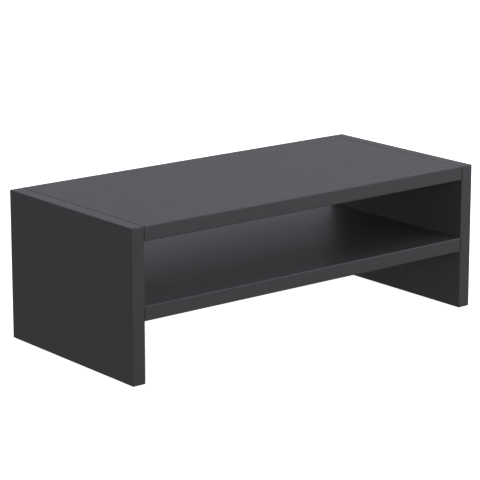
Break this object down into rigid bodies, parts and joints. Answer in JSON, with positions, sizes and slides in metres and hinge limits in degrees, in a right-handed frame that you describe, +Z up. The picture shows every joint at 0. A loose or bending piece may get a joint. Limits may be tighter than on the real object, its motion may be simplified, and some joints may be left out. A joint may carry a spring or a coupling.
{
  "type": "desk riser",
  "caption": "Low two-tier desk riser: a broad top panel and a full-depth shelf held between two solid side panels, open at the front and back.",
  "frame": {"origin": "on the desk, below the middle of the riser's footprint", "axes": "+X to the right along the width, -Y towards the user at the open front, +Z up"},
  "size_m": [0.762, 0.3556, 0.2667],
  "materials": {
    "board": "melamine-faced particleboard, charcoal, fine satin texture",
    "edge_band": "charcoal edge band, satin",
    "cam": "die-cast zinc alloy, as cast",
    "bolt": "bright zinc plated",
    "dowel": "plain beech, fluted",
    "pad": "black, matt"
  },
  "bodies": {
    "carcass": {"left_side_panel": "board", "right_side_panel": "board", "top_panel": "board", "shelf_panel": "board", "left_side_front_band": "edge_band", "left_side_rear_band": "edge_band", "left_side_bottom_band": "edge_band", "left_side_top_band": "edge_band", "right_side_front_band": "edge_band", "right_side_rear_band": "edge_band", "right_side_bottom_band": "edge_band", "right_side_top_band": "edge_band", "top_front_band": "edge_band", "top_rear_band": "edge_band", "shelf_front_band": "edge_band", "shelf_rear_band": "edge_band", "left_front_pad": "pad", "left_rear_pad": "pad", "right_front_pad": "pad", "right_rear_pad": "pad", "top_left_front_bolt": "bolt", "top_left_rear_bolt": "bolt", "top_right_front_bolt": "bolt", "top_right_rear_bolt": "bolt", "shelf_left_front_bolt": "bolt", "shelf_left_rear_bolt": "bolt", "shelf_right_front_bolt": "bolt", "shelf_right_rear_bolt": "bolt", "top_left_front_dowel": "dowel", "top_left_rear_dowel": "dowel", "top_right_front_dowel": "dowel", "top_right_rear_dowel": "dowel", "shelf_left_front_dowel": "dowel", "shelf_left_rear_dowel": "dowel", "shelf_right_front_dowel": "dowel", "shelf_right_rear_dowel": "dowel"},
    "top_left_front_cam": {"top_left_front_cam": "cam"},
    "top_left_rear_cam": {"top_left_rear_cam": "cam"},
    "top_right_front_cam": {"top_right_front_cam": "cam"},
    "top_right_rear_cam": {"top_right_rear_cam": "cam"},
    "shelf_left_front_cam": {"shelf_left_front_cam": "cam"},
    "shelf_left_rear_cam": {"shelf_left_rear_cam": "cam"},
    "shelf_right_front_cam": {"shelf_right_front_cam": "cam"},
    "shelf_right_rear_cam": {"shelf_right_rear_cam": "cam"}
  },
  "joints": [
    {"name": "top_left_front_cam_turn", "type": "hinge", "parent": "carcass", "child": "top_left_front_cam", "pos_m": [-0.3216, -0.1278, 0.254], "axis": [0, 0, 1], "range_deg": [-200, 0]},
    {"name": "top_left_rear_cam_turn", "type": "hinge", "parent": "carcass", "child": "top_left_rear_cam", "pos_m": [-0.3216, 0.1278, 0.254], "axis": [0, 0, 1], "range_deg": [-200, 0]},
    {"name": "top_right_front_cam_turn", "type": "hinge", "parent": "carcass", "child": "top_right_front_cam", "pos_m": [0.3216, -0.1278, 0.254], "axis": [0, 0, 1], "range_deg": [-200, 0]},
    {"name": "top_right_rear_cam_turn", "type": "hinge", "parent": "carcass", "child": "top_right_rear_cam", "pos_m": [0.3216, 0.1278, 0.254], "axis": [0, 0, 1], "range_deg": [-200, 0]},
    {"name": "shelf_left_front_cam_turn", "type": "hinge", "parent": "carcass", "child": "shelf_left_front_cam", "pos_m": [-0.3216, -0.1278, 0.12065], "axis": [0, 0, 1], "range_deg": [-200, 0]},
    {"name": "shelf_left_rear_cam_turn", "type": "hinge", "parent": "carcass", "child": "shelf_left_rear_cam", "pos_m": [-0.3216, 0.1278, 0.12065], "axis": [0, 0, 1], "range_deg": [-200, 0]},
    {"name": "shelf_right_front_cam_turn", "type": "hinge", "parent": "carcass", "child": "shelf_right_front_cam", "pos_m": [0.3216, -0.1278, 0.12065], "axis": [0, 0, 1], "range_deg": [-200, 0]},
    {"name": "shelf_right_rear_cam_turn", "type": "hinge", "parent": "carcass", "child": "shelf_right_rear_cam", "pos_m": [0.3216, 0.1278, 0.12065], "axis": [0, 0, 1], "range_deg": [-200, 0]}
  ]
}
